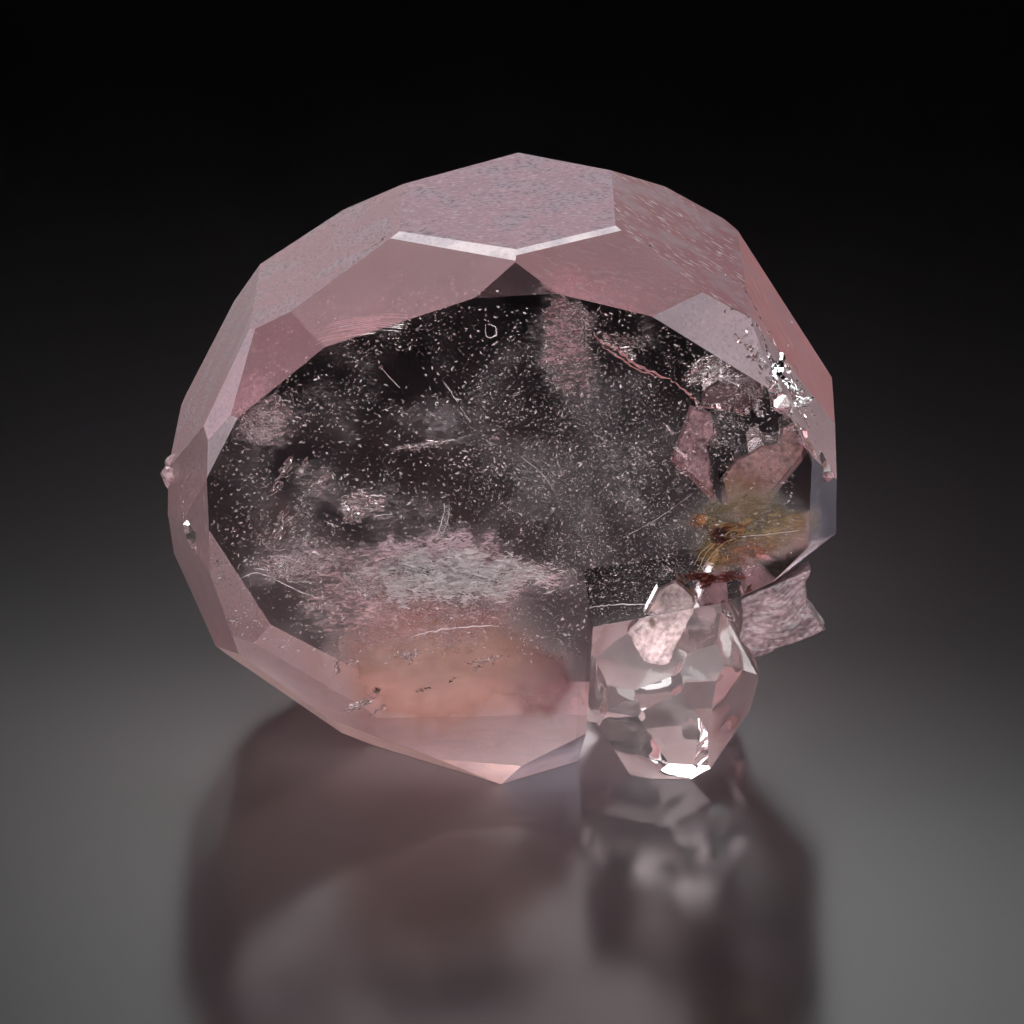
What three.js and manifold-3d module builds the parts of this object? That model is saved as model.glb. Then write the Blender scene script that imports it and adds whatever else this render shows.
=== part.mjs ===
// A morganite (pink beryl) crystal: a thick tabular crystal that stands on one of its prism faces, with a
// smaller crystal grown on its lower right and five blades of albite set in it. Millimetres, +Z up, and the
// wide clear end of the crystal looks towards -Y.
import * as THREE from 'three';
import Module from 'manifold-3d';
import { ConvexGeometry } from 'three/addons/geometries/ConvexGeometry.js';
import { mergeVertices } from 'three/addons/utils/BufferGeometryUtils.js';

const wasm = await Module();
wasm.setup();

// Driving dimensions. Everything is measured from the middle of the main crystal.
const floorReach = 25.5; // down to the prism face that it stands on
const frontReach = 16.7; // forward to the wide clear end
const backReach = 17.8; // back to the other end
const bladeGap = 0.3; // clearance of an albite blade in its socket

// A flat face is [azimuth, tilt, reach]. The azimuth turns from +X (0) up to +Z (90), the tilt is the angle
// from the crystal's long axis, which points to -Y, and the reach is the distance from the middle in mm.
// Beryl's prism faces have tilt 90 and come every 30 degrees; its pyramid faces slope in towards each end.
const prismFaces = [
  [92, 90, 25.5], // top
  [121, 90, 26.7],
  [153, 90, 28.5],
  [180, 90, 31.4], // left
  [209, 90, 31.6],
  [238, 90, 28.5],
  [270, 90, floorReach],
  [318, 90, 24.4],
  [1, 87, 29.6], // right
  [32, 90, 27.8],
  [59.5, 90, 26.9],
];
const frontFaces = [
  [340, 1, frontReach], // the clear end
  [92, 47, 28], // small triangle under the top
  [108.5, 64.5, 27.4], // pair of wide pyramid faces under the top
  [75, 65.5, 27.9],
  [105.5, 68.4, 27.52], // pair of narrow bevels above them
  [77.2, 68.3, 27.96],
  [130, 58, 29.6],
  [146, 72, 30.6],
  [153, 49, 31.3],
  [171, 75, 30.9],
  [181, 66, 31.4],
  [197, 71, 30.7],
  [232, 66, 28.7],
  [248, 62, 27.8],
  [266, 39, 26.9], // small triangle over the foot
  [299, 55, 25.9],
  [318, 61, 25.6],
  [359, 57, 30.9],
  [28, 83, 28.6],
  [56, 53, 29.1],
];
const backFaces = [
  [90, 180, backReach],
  [111, 112, 27.7],
  [76, 110, 28.7],
  [127, 115, 28.4],
  [61, 116, 30.1],
  [33, 118, 30.6],
  [152, 118, 31.6],
  [181, 117, 34],
  [210, 118, 33.6],
  [240, 116, 31.6],
  [268, 118, 28.7],
];

// The small crystal grows out of a nook in the main one. Its side and its back wall are faces that look into
// the crystal, and over the small crystal the main one ends at the two faces of the roof.
const nookWalls = [
  [177, 88, -7.1],
  [300, 155, 10.5],
];
const nookRoof = [
  [281, 90, 9.95],
  [296, 90, 14.2],
];

// The small crystal has the same forms on the same axes, and the same foot.
const satelliteFaces = [
  [291, 1, 14.7], // its end
  [119, 21, 5.7],
  [89, 20, 8.1],
  [29, 23, 15.4],
  [154, 27, 4.4],
  [213, 28, 12.9],
  [267, 31, 23.8],
  [55, 36, 9.3],
  [115, 47, -4.9],
  [2, 52, 22.2],
  [171, 57, -2.5],
  [86, 68, -6.3],
  [31, 72, 12.4],
  [210, 84, 4.6],
  [90, 90, -9],
  [28, 92, 11.5],
  [342, 90, 27.1],
  [314, 89, 30],
  [270, 90, floorReach],
  [180, 90, -4],
  [90, 180, 6],
];

// Shell-like chips along the broken right edge, and one on the left: [x, y, z, size].
const chips = [
  [20.3, -14.4, 20.6, 1.7],
  [22.6, -15.9, 17.4, 2.1],
  [25.2, -16.2, 13.2, 2.6],
  [24.6, -11.9, 14.6, 1.3],
  [27.4, -15.2, 9.4, 2.2],
  [26.9, -9.2, 10.9, 1.1],
  [28.6, -13.6, 5.6, 1.6],
  [-29.9, -12.7, -1.9, 2],
  [-31.5, -9.2, 2.2, 1.2],
  [-13.8, -12.6, -25.6, 1.1],
  [31.1, 8, -3.4, 1.5],
];

// Small crystals that stand a little proud of the left side: [x, y, z, size].
const lumps = [
  [-31.1, -4.6, 1.2, 0.8],
  [-30.9, -3.4, 0.1, 1],
  [-30.8, -2.6, 1.6, 0.9],
  [-30.9, -1.1, -0.4, 1],
];

// Albite blades. An outline is [x, z] seen from the front, and thickness runs back from front. A socket that
// opens behind runs out of the crystal's back.
const blades = [
  {
    name: 'albite_blade_front',
    outline: [[14.6, -5], [16.3, -6.6], [16.3, -8.4], [15, -11.3], [14.2, -13.5], [13.2, -13.7],
      [11.9, -13.2], [11, -11.7], [10.3, -10.4], [12.2, -7.8], [13.2, -5.7]],
    front: -14.2,
    thickness: 1.5,
    opensBehind: false,
  },
  {
    name: 'albite_blade_right',
    outline: [[26.7, -3.5], [26.3, -4.9], [26.4, -6.9], [27.1, -8], [28.1, -9.5], [26.5, -10.4],
      [23.4, -11.6], [21.7, -12.5], [20.3, -10.3], [20.6, -8.5], [20.4, -6.5]],
    front: -15.6,
    thickness: 2.2,
    opensBehind: false,
  },
  {
    name: 'albite_blade_diagonal',
    outline: [[27.7, 3], [26.5, 4], [24.7, 3.2], [24.6, 1.7], [22.9, 1.5], [21.8, 0.7], [20.6, 0.2],
      [19.3, -1.8], [19.8, -4.3], [21, -5.8], [22.8, -4.8], [24.4, -2.3], [26.4, 0.4]],
    front: 13.5,
    thickness: 5,
    opensBehind: true,
  },
  {
    name: 'albite_blade_left',
    outline: [[14.8, 0], [16.4, 5], [18.3, 4.2], [18.5, 2.4], [17.8, 1.2], [18.2, -1.2], [18.6, -4.1],
      [17.2, -2.4]],
    front: 15,
    thickness: 3.4,
    opensBehind: true,
  },
  {
    name: 'albite_blade_upper',
    outline: [[20.1, 11.3], [22.9, 10.8], [22.5, 6.5], [21.2, 4.8], [19.6, 5.2], [17.3, 5.6], [17.6, 6.8],
      [19.5, 8.3]],
    front: 14.2,
    thickness: 4,
    opensBehind: true,
  },
];

const beryl = new THREE.MeshStandardMaterial({ color: 0xc9a3a3, roughness: 0.3, metalness: 0 });
const albite = new THREE.MeshStandardMaterial({ color: 0xe3d4ce, roughness: 0.6, metalness: 0 });

const radians = THREE.MathUtils.degToRad;

function faceNormal([azimuth, tilt]) {
  const turn = radians(azimuth);
  const slope = radians(tilt);
  return new THREE.Vector3(
    Math.sin(slope) * Math.cos(turn),
    -Math.cos(slope),
    Math.sin(slope) * Math.sin(turn),
  );
}

// The corner where three faces meet, or null where two of them are parallel.
function corner(a, b, c) {
  const bc = new THREE.Vector3().crossVectors(b.normal, c.normal);
  const volume = a.normal.dot(bc);
  if (Math.abs(volume) < 1e-6) return null;
  const ca = new THREE.Vector3().crossVectors(c.normal, a.normal);
  const ab = new THREE.Vector3().crossVectors(a.normal, b.normal);
  return bc.multiplyScalar(a.reach).addScaledVector(ca, b.reach).addScaledVector(ab, c.reach)
    .divideScalar(volume);
}

// The convex solid that all of the given faces bound.
function crystalForm(faces) {
  const planes = faces.map((face) => ({ normal: faceNormal(face), reach: face[2] }));
  const corners = [];
  for (let i = 0; i < planes.length; i += 1) {
    for (let j = i + 1; j < planes.length; j += 1) {
      for (let k = j + 1; k < planes.length; k += 1) {
        const point = corner(planes[i], planes[j], planes[k]);
        const inside = point && planes.every((plane) => plane.normal.dot(point) < plane.reach + 1e-6);
        const known = inside && corners.some((other) => other.distanceTo(point) < 1e-3);
        if (inside && !known) corners.push(point);
      }
    }
  }
  return new ConvexGeometry(corners);
}

function toSolid(geometry) {
  const bare = geometry.clone();
  bare.deleteAttribute('normal');
  bare.deleteAttribute('uv');
  const merged = mergeVertices(bare, 1e-4);
  const vertProperties = new Float32Array(merged.attributes.position.array);
  const triVerts = new Uint32Array(merged.index.array);
  return new wasm.Manifold(new wasm.Mesh({ numProp: 3, vertProperties, triVerts }));
}

function toMesh(solid, name, material) {
  const { vertProperties, triVerts } = solid.getMesh();
  const geometry = new THREE.BufferGeometry();
  geometry.setAttribute('position', new THREE.BufferAttribute(new Float32Array(vertProperties), 3));
  geometry.setIndex(new THREE.BufferAttribute(new Uint32Array(triVerts), 1));
  const mesh = new THREE.Mesh(geometry, material);
  mesh.name = name;
  return mesh;
}

// A rough pebble shape: a ball whose corners are pushed in and out by a fixed wave.
function pebble([x, y, z, size], detail) {
  const geometry = new THREE.IcosahedronGeometry(size, detail);
  const place = geometry.attributes.position;
  const point = new THREE.Vector3();
  for (let i = 0; i < place.count; i += 1) {
    point.fromBufferAttribute(place, i);
    const wave = Math.sin(point.x * 5.1 + x) * Math.cos(point.y * 4.3 + y) + Math.sin(point.z * 3.7 + z);
    point.multiplyScalar(1 + 0.14 * wave);
    place.setXYZ(i, point.x, point.y, point.z);
  }
  return geometry.translate(x, y, z);
}

// The outline moved outwards by a distance, each corner along the bisector of its two sides.
function widened(outline, distance) {
  const points = outline.map(([x, z]) => new THREE.Vector2(x, z));
  const ways = points.map((point, i) => points[(i + 1) % points.length].clone().sub(point).normalize());
  const outward = THREE.ShapeUtils.isClockWise(points) ? -1 : 1;
  return points.map((point, i) => {
    const before = ways[(i + points.length - 1) % points.length];
    const sum = new THREE.Vector2(before.y + ways[i].y, -before.x - ways[i].x).normalize();
    const stretch = 1 / Math.max(0.5, sum.dot(new THREE.Vector2(ways[i].y, -ways[i].x)));
    const moved = point.clone().addScaledVector(sum, outward * distance * stretch);
    return [moved.x, moved.y];
  });
}

// A plate with the given outline that runs back from front.
function plate(outline, front, thickness) {
  const shape = new THREE.Shape(outline.map(([x, z]) => new THREE.Vector2(x, z)));
  const geometry = new THREE.ExtrudeGeometry(shape, { depth: thickness, bevelEnabled: false });
  return geometry.rotateX(Math.PI / 2).translate(0, front + thickness, 0);
}

// The main crystal with its nook: all that lies in front of the nook's back wall, right of its side wall and
// under either face of its roof is left out.
function mainCrystal() {
  const whole = toSolid(crystalForm([...prismFaces, ...frontFaces, ...backFaces]));
  const far = 2 * floorReach;
  const outside = [[0, 90, far], [270, 90, far], [0, 0, far]];
  const opposite = ([azimuth, tilt, reach]) => [azimuth + 180, 180 - tilt, -reach];
  const nooks = nookRoof.map((face) => toSolid(crystalForm([...nookWalls, ...outside, opposite(face)])));
  return nooks.reduce((rest, nook) => rest.subtract(nook), whole);
}

function crystalPair() {
  let solid = mainCrystal().add(toSolid(crystalForm(satelliteFaces)));
  for (const lump of lumps) solid = solid.add(toSolid(pebble(lump, 1)));
  for (const chip of chips) solid = solid.subtract(toSolid(pebble(chip, 2)));
  for (const blade of blades) {
    const socketDepth = blade.opensBehind ? backReach : blade.thickness + bladeGap;
    const socket = plate(widened(blade.outline, bladeGap), blade.front - bladeGap, socketDepth + bladeGap);
    solid = solid.subtract(toSolid(socket));
  }
  return solid;
}

const specimen = new THREE.Group();
specimen.add(toMesh(crystalPair(), 'morganite_crystal', beryl));
for (const blade of blades) {
  const body = toSolid(plate(blade.outline, blade.front, blade.thickness));
  specimen.add(toMesh(body, blade.name, albite));
}

// The part's origin is the middle of its footprint box, at floor height.
const extent = new THREE.Box3().setFromObject(specimen);
const middle = extent.getCenter(new THREE.Vector3());
specimen.position.set(-middle.x, -middle.y, -extent.min.z);

const group = new THREE.Group();
group.add(specimen);

export default group;
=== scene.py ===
import math
import random

import bmesh
import bpy
from mathutils import Matrix, Vector, noise
from mathutils.bvhtree import BVHTree


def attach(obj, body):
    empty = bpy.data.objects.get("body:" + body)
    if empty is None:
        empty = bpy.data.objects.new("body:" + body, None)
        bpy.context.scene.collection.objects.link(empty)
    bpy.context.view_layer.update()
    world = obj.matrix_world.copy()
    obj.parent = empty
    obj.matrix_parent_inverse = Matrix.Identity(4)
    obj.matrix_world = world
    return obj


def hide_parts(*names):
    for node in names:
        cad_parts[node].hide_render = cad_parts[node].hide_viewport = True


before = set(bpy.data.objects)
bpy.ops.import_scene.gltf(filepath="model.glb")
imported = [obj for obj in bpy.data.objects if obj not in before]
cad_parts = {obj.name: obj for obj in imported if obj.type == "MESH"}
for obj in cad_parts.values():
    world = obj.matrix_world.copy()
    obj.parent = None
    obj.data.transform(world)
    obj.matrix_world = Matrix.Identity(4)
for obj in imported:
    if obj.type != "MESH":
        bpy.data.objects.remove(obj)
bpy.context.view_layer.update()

mm = 0.001
weldDistance = 0.002  # mm
middle = Vector((0.688, -0.661, 25.5))  # mm, the main crystal's middle, from which its faces are measured
specimenOnly = bpy.data.collections.new("lit by the soft boxes")


def fromHex(text):
    # sRGB hex to the linear numbers that shaders and lights take
    channels = [int(text[i:i + 2], 16) / 255 for i in (0, 2, 4)]
    return tuple(c / 12.92 if c <= 0.04045 else ((c + 0.055) / 1.055) ** 2.4 for c in channels) + (1,)


def addNode(tree, kind, inputs=(), **settings):
    # one node, its settings by name, and its inputs by name or in their order
    node = tree.nodes.new("ShaderNode" + kind)
    for name, value in settings.items():
        setattr(node, name, value)
    for socket, value in inputs.items() if isinstance(inputs, dict) else enumerate(inputs):
        if isinstance(value, bpy.types.NodeSocket):
            tree.links.new(value, node.inputs[socket])
        else:
            node.inputs[socket].default_value = value
    return node


def newMaterial(name):
    material = bpy.data.materials.new(name)
    material.use_nodes = True
    material.node_tree.nodes.clear()
    return material, material.node_tree


def deselectAll():
    if bpy.context.object and bpy.context.object.mode != "OBJECT":
        bpy.ops.object.mode_set(mode="OBJECT")
    bpy.ops.object.select_all(action="DESELECT")


def makeActive(piece):
    deselectAll()
    piece.select_set(True)
    bpy.context.view_layer.objects.active = piece


def applyModifiers(piece):
    makeActive(piece)
    for modifier in list(piece.modifiers):
        bpy.ops.object.modifier_apply(modifier=modifier.name)


def addPiece(name, data):
    piece = bpy.data.objects.new(name, data)
    bpy.context.scene.collection.objects.link(piece)
    return piece


def meshPiece(name, points, faces):
    # points in mm from the part's origin
    mesh = bpy.data.meshes.new(name)
    mesh.from_pydata([tuple(p * mm for p in point) for point in points], [], faces)
    return addPiece(name, mesh)


def weldedCopy(name, node, flatWithin=None):
    # a CAD node's loose triangles, copied and joined up, and where asked, those that lie flat made one face
    piece = addPiece(name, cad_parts[node].data.copy())
    makeActive(piece)
    bpy.ops.object.mode_set(mode="EDIT")
    bpy.ops.mesh.select_all(action="SELECT")
    bpy.ops.mesh.remove_doubles(threshold=weldDistance * mm)
    if flatWithin:
        bpy.ops.mesh.dissolve_limited(angle_limit=math.radians(flatWithin))
    bpy.ops.object.mode_set(mode="OBJECT")
    return piece


def finishPiece(piece, material):
    piece.data.materials.clear()
    piece.data.materials.append(material)
    print("   ", piece.name, len(piece.data.polygons), "faces")
    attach(piece, "root")
    specimenOnly.objects.link(piece)


camera = {
    "target": (0.688, -0.661, 21.15),  # mm
    "elevation": 22,  # degrees
    "distance": 394.6,  # mm
    "lens": 150,
    "sensor": 36,
}


def placeCamera():
    data = bpy.data.cameras.new("camera")
    data.lens = camera["lens"]
    data.sensor_width = camera["sensor"]
    data.clip_start = 10 * mm
    eye = addPiece("camera", data)
    slope = math.radians(camera["elevation"])
    back = Vector((0, -math.cos(slope), math.sin(slope)))
    eye.location = (Vector(camera["target"]) + back * camera["distance"]) * mm
    eye.rotation_euler = (-back).to_track_quat("-Z", "Y").to_euler()
    bpy.context.scene.camera = eye
    print("camera placed")


placeCamera()

studio = {
    # place and aim in mm, width and height in mm, roll and spread in degrees, watts, lights the floor too
    "backBox": ((15, 445, 312), (0, -150, 0), (640, 180), -6, 24, 0.0127, True),
    "overhead": ((0, 190, 350), (0, 0, 30), (480, 260), 0, 120, 0.34, False),
    "rightRim": ((320, 170, 140), (0, 0, 25), (240, 260), 0, 120, 0.3, False),
    "frontBox": ((-60, -290, 330), (0, 0, 20), (520, 220), 0, 120, 0.64, False),
    "frontLow": ((0, -400, 50), (0, 0, 20), (400, 90), 0, 120, 0.75, False),
    "frontLeft": ((-280, -280, 180), (0, 0, 20), (200, 240), 0, 120, 0.3, False),
    "backLeft": ((-220, 330, 60), (0, 0, 20), (220, 110), 0, 120, 0.12, False),
    "backLow": ((0, 400, 60), (0, 0, 20), (200, 110), 0, 120, 0.16, False),
}
room = {"tone": "8c9098", "strength": 0.004}  # the faint light from all round
sheet = {"tone": "b4b4ba", "roughness": 0.175, "side": 6000, "drop": 0.05}  # mm, a hair below the foot


def placeLights():
    for name, (place, aim, size, roll, spread, watts, onFloor) in studio.items():
        data = bpy.data.lights.new(name, "AREA")
        data.shape = "RECTANGLE"
        data.size, data.size_y = size[0] * mm, size[1] * mm
        data.energy = watts
        data.spread = math.radians(spread)
        lamp = addPiece(name, data)
        lamp.location = Vector(place) * mm
        lamp.rotation_euler = (Vector(aim) - Vector(place)).to_track_quat("-Z", "Y").to_euler()
        lamp.rotation_euler.rotate_axis("Z", math.radians(roll))
        if not onFloor:
            lamp.light_linking.receiver_collection = specimenOnly
    world = bpy.data.worlds.new("studio")
    world.use_nodes = True
    background = world.node_tree.nodes["Background"]
    background.inputs["Color"].default_value = fromHex(room["tone"])
    background.inputs["Strength"].default_value = room["strength"]
    bpy.context.scene.world = world
    bpy.context.scene.view_settings.view_transform = "Standard"
    print("lights placed")


def floorFinish():
    # Satin acrylic sheet: plain and smooth, with a soft reflection of what stands on it.
    material, tree = newMaterial("satin acrylic floor")
    shader = addNode(tree, "BsdfPrincipled", {
        "Base Color": fromHex(sheet["tone"]), "Roughness": sheet["roughness"], "IOR": 1.49})
    addNode(tree, "OutputMaterial", {"Surface": shader.outputs[0]})
    return material


def makeFloor():
    deselectAll()
    bpy.ops.mesh.primitive_plane_add(size=sheet["side"] * mm, location=(0, 0, -sheet["drop"] * mm))
    floor = bpy.context.object
    floor.name = "floor"
    floor.data.materials.append(floorFinish())
    print("floor laid")


placeLights()
makeFloor()

crystal = {
    "flatWithin": 0.3,  # degrees that still count as one face
    "knownWithin": 1.5,  # degrees from a face in the list below, past which it counts as broken
    "leftLumps": -29.5,  # mm: left of this
    "smallCrystal": (7.5, 1.5, 17.0),  # mm: right of, in front of and below these
    "smallTop": 0.35,  # its faces that look up more than this
    "sockets": (10, 0.97),  # mm: right of this, faces that look to the front or back more than this
    "absorption": ("f3d4da", 20.0),  # colour, and strength per metre
}

# A face is [azimuth from +X up, tilt from the front], in degrees. Frost goes from 0, glassy, to 1, matt. Pits
# are small etch dents darkened with painted shade, flecks small pale ones, and both are drawn out along the
# streak by its length.
finishes = {
    "glassy": {"faces": [(0, 0), (92, 47), (0, 180), (177, 88), (120, 25)]},
    # The nook roof's grey tone, which also tints what is seen through it, is painted shade on the faces that
    # look down into the nook.
    "shaded nook roof": {"faces": [(281, 90), (296, 90)], "frost": 0.07, "tone": "9c8c94", "flecks": 0.3},
    "small crystal": {"faces": [], "frost": 0.07, "tone": "fff4f4", "flecks": 0.15, "ripple": 1.0},
    "small top": {"faces": [], "frost": 0.22, "tone": "fff6f6", "flecks": 0.4, "ripple": 1.0},
    "broken": {"faces": [], "frost": 0.1, "tone": "e8dcdc"},
    "lumps": {"faces": [], "frost": 0.8, "tone": "b48e94", "pits_and_shade": 1.0},
    "socket": {"faces": [], "frost": 0.3, "tone": "e0c8c8"},
    "satin pyramid": {"faces": [(108.5, 64.5)], "frost": 0.28, "tone": "ca8a92", "flecks": 0.15},
    "rosy pyramid": {"faces": [(75, 65.5)], "frost": 0.28, "tone": "b05662", "flecks": 0.3,
                     "streak": (0.7, 0, -0.3)},
    "smoky bevel": {"faces": [(130, 58)], "frost": 0.3, "tone": "deaab2", "flecks": 0.15},
    "grey bevel": {"faces": [(153, 49), (56, 53), (28, 83)], "frost": 0.5, "tone": "d2bec6", "flecks": 0.8,
                   "pits_and_shade": 0.5},
    "pale bevel": {"faces": [(105.5, 68.4), (77.2, 68.3)], "frost": 1.0, "tone": "fff0f4", "pits_and_shade": 0.3},
    # The left bevel is the pale bevel's frost with a darker tone: painted shade on the bevel that faces left.
    "shaded left bevel": {"faces": [(146, 72)], "frost": 1.0, "tone": "c6a2ae", "pits_and_shade": 0.4},
    "etched top": {"faces": [(92, 90)], "frost": 1.0, "tone": "ae8494", "pits_and_shade": 1.0, "flecks": 0.5,
                   "streak": (0.6, 0.05, 0)},
    "pitted side": {"faces": [(121, 90)], "frost": 0.9, "tone": "a87884", "pits_and_shade": 1.0},
    # The pitted left faces are the pitted side with a darker tone: painted shade on the faces turned to the
    # left.
    "shaded pitted left": {"faces": [(153, 90), (180, 90)], "frost": 0.9, "tone": "945a66", "pits_and_shade": 1.0},
    "fleck side": {"faces": [(59.5, 90)], "frost": 0.85, "tone": "904a54", "pits_and_shade": 0.4, "flecks": 1.0,
                   "streak": (0.66, -0.14, -0.39)},
    "lined side": {"faces": [(32, 90), (1, 87)], "frost": 0.75, "tone": "d07c80", "flecks": 0.6,
                   "streak": (0.26, -0.82, -0.41)},
    "lined left": {"faces": [(209, 90), (171, 75), (197, 71), (181, 66)], "frost": 0.6, "tone": "b49296",
                   "pits_and_shade": 0.5, "flecks": 0.5, "streak": (0.44, 0, -0.8)},
    "clear side": {"faces": [(318, 61), (359, 57), (299, 55)], "frost": 0.3, "tone": "bcb8c8", "flecks": 0.3},
    "low back": {"faces": [(268, 118), (240, 116)], "frost": 0.75, "tone": "c89c96", "flecks": 0.3},
    "under side": {"faces": [(238, 90), (270, 90), (318, 90), (232, 66), (248, 62), (266, 39)],
                   "frost": 0.8, "tone": "deb6b0", "flecks": 0.2},
    "back pyramid": {"faces": [(111, 112), (76, 110), (127, 115), (61, 116), (33, 118), (152, 118),
                               (181, 117), (210, 118)],
                     "frost": 0.8, "tone": "bb9494", "pits_and_shade": 0.6, "flecks": 0.3},
}
plainFinish = {"frost": 0.0, "tone": "ffffff", "pits_and_shade": 0.0, "flecks": 0.0, "ripple": 0.0, "streak": (0, 0, 0)}
etch = {
    "middle": (-7.5, 17.2, 3.0),  # mm from the part's origin
    "reach": (8.4, 4, 8.6),
    "ragged": 0.8,
    "frost": 0.8,
    "tone": "f8dcd6",
}
berylNoise = {  # mm from mark to mark, and how much finer detail the noise holds
    "pits_and_shade": (0.32, 1.0),
    "flecks": (0.42, 1.5),
    "clouds": (4, 2.0),  # where pits or flecks gather
    "ragged": (5, 3.0),
    "ripple": (3.4, 0.0),
}
berylRanges = {  # a noise, a distance or the frost, from low and high, to 0 and 1 or to the last two
    "pits_and_shade": (0.48, 0.36),
    "pits_and_shade gather": (0.38, 0.6, 0.3, 1.0),
    "flecks": (0.58, 0.68),
    "flecks gather": (0.58, 0.42, 0.2, 1.0),
    # a painted sheen: bluish-grey patches tinted onto the frosted faces where the cloud noise is high
    "painted_sheen": (0.48, 0.62, 0.0, 0.45),  # a bluish tint on frosted faces
    "mottle": (0.3, 0.7, 0.88, 1.12),
    "etched patch": (2.1, 1.6),
    "behind": (4.4, 4.0),  # reaches from the patch's middle
    "haze": (0.45, 0.75, 0.0, 0.06),  # frost of the cloudy rest of the back face
    "roughness": (0, 1, 0.01, 0.6),
    "transmission": (0, 1, 1.0, 0.4),
}
# The pits' dark tint is painted shade in the etch dents that the bump cuts.
berylTints = {"painted_sheen": "8c8898", "pits_and_shade": "4c3438", "flecks": "f4e6ea"}
berylBumps = {"marks": (0.06, 0.7), "ripple": (0.95, 1.0)}  # height in mm, and strength
markStrength = 0.7  # of the pits' and flecks' tints


def faceNormal(azimuth, tilt):
    turn, slope = math.radians(azimuth), math.radians(tilt)
    return Vector((math.sin(slope) * math.cos(turn), -math.cos(slope), math.sin(slope) * math.sin(turn)))


def distanceFrom(tree, place, spot, reach):
    # how far a point is from a spot, in its reaches, all in mm
    away = addNode(tree, "VectorMath", (place, [a * mm for a in spot]), operation="SUBTRACT").outputs[0]
    away = addNode(tree, "VectorMath", (away, [1 / (a * mm) for a in reach]), operation="MULTIPLY").outputs[0]
    return addNode(tree, "VectorMath", (away,), operation="LENGTH").outputs["Value"]


def berylFinish():
    # Beryl: glassy where it grew flat, etched to a fine frost on its prism faces, as its face attributes say.
    # The volume gives the pink of manganese, deeper where the light's way is longer.
    material, tree = newMaterial("pink beryl")
    face = {name: addNode(tree, "Attribute", attribute_name=name) for name in plainFinish}
    grown, tone = face["frost"].outputs["Fac"], face["tone"].outputs["Color"]
    place, streak = addNode(tree, "TexCoord").outputs["Object"], face["streak"].outputs["Vector"]

    # pits and flecks are drawn out along each face's streak
    along = addNode(tree, "VectorMath", (place, streak), operation="DOT_PRODUCT").outputs["Value"]
    along = addNode(tree, "VectorMath", {0: streak, 3: along}, operation="SCALE").outputs[0]
    drawn = addNode(tree, "VectorMath", (place, along), operation="SUBTRACT").outputs[0]
    noises = {}
    for name, (size, detail) in berylNoise.items():
        spot = drawn if name in ("pits_and_shade", "flecks") else place
        noises[name] = addNode(tree, "TexNoise", {
            "Vector": spot, "Scale": 1 / (size * mm), "Detail": detail}).outputs["Fac"]

    # the etched patch low on the back face
    away = distanceFrom(tree, place, etch["middle"], etch["reach"])
    edge = addNode(tree, "Math", (noises["ragged"], 2 * etch["ragged"]), operation="MULTIPLY").outputs[0]
    edge = addNode(tree, "Math", (away, edge), operation="ADD").outputs[0]
    patch = addNode(tree, "MapRange", (edge, *berylRanges["etched patch"])).outputs[0]
    behind = addNode(tree, "MapRange", (away, *berylRanges["behind"])).outputs[0]
    haze = addNode(tree, "MapRange", (noises["ragged"], *berylRanges["haze"])).outputs[0]
    haze = addNode(tree, "Math", (haze, behind), operation="MULTIPLY").outputs[0]
    frost = addNode(tree, "Math", (patch, etch["frost"]), operation="MULTIPLY").outputs[0]
    frost = addNode(tree, "Math", (frost, haze), operation="MAXIMUM").outputs[0]
    frost = addNode(tree, "Math", (grown, frost), operation="MAXIMUM").outputs[0]

    marks = {}
    for name in ("pits_and_shade", "flecks"):
        mark = addNode(tree, "MapRange", (noises[name], *berylRanges[name])).outputs[0]
        mark = addNode(tree, "Math", (mark, face[name].outputs["Fac"]), operation="MULTIPLY").outputs[0]
        gather = addNode(tree, "MapRange", (noises["clouds"], *berylRanges[name + " gather"])).outputs[0]
        marks[name] = addNode(tree, "Math", (mark, gather), operation="MULTIPLY").outputs[0]
    # painted sheen: a bluish-grey tint in patches over the frosted faces
    painted_sheen = addNode(tree, "MapRange", (noises["clouds"], *berylRanges["painted_sheen"])).outputs[0]
    painted_sheen = addNode(tree, "Math", (painted_sheen, frost), operation="MULTIPLY").outputs[0]
    shares = {name: addNode(tree, "Math", (mark, markStrength), operation="MULTIPLY").outputs[0]
              for name, mark in marks.items()}
    tone = addNode(tree, "Mix", {0: patch, 6: tone, 7: fromHex(etch["tone"])}, data_type="RGBA").outputs[2]
    # the pits' dark tint paints shade into the etch dents
    for name, share in {"painted_sheen": painted_sheen, **shares}.items():
        tint = fromHex(berylTints[name])
        tone = addNode(tree, "Mix", {0: share, 6: tone, 7: tint}, data_type="RGBA").outputs[2]
    mottle = addNode(tree, "MapRange", (noises["clouds"], *berylRanges["mottle"])).outputs[0]
    tone = addNode(tree, "VectorMath", {0: tone, 3: mottle}, operation="SCALE").outputs[0]

    height = addNode(tree, "Math", (noises["pits_and_shade"], marks["flecks"]), operation="ADD").outputs[0]
    height = addNode(tree, "Math", (height, marks["pits_and_shade"]), operation="SUBTRACT").outputs[0]
    height = addNode(tree, "Math", (height, grown), operation="MULTIPLY").outputs[0]
    wavy = face["ripple"].outputs["Fac"]
    wavy = addNode(tree, "Math", (noises["ripple"], wavy), operation="MULTIPLY").outputs[0]
    bump = {}
    for name, rise in {"marks": height, "ripple": wavy}.items():
        distance, strength = berylBumps[name]
        bump["Normal"] = addNode(tree, "Bump", {
            "Height": rise, "Distance": distance * mm, "Strength": strength, **bump}).outputs[0]
    roughness = addNode(tree, "MapRange", (frost, *berylRanges["roughness"])).outputs[0]
    passing = addNode(tree, "MapRange", (frost, *berylRanges["transmission"])).outputs[0]
    shader = addNode(tree, "BsdfPrincipled", {
        "Base Color": tone, "Roughness": roughness, "Transmission Weight": passing, "IOR": 1.58, **bump})
    pink, density = crystal["absorption"]
    depth = addNode(tree, "VolumeAbsorption", {"Color": fromHex(pink), "Density": density})
    addNode(tree, "OutputMaterial", {"Surface": shader.outputs[0], "Volume": depth.outputs[0]})
    return material


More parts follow.
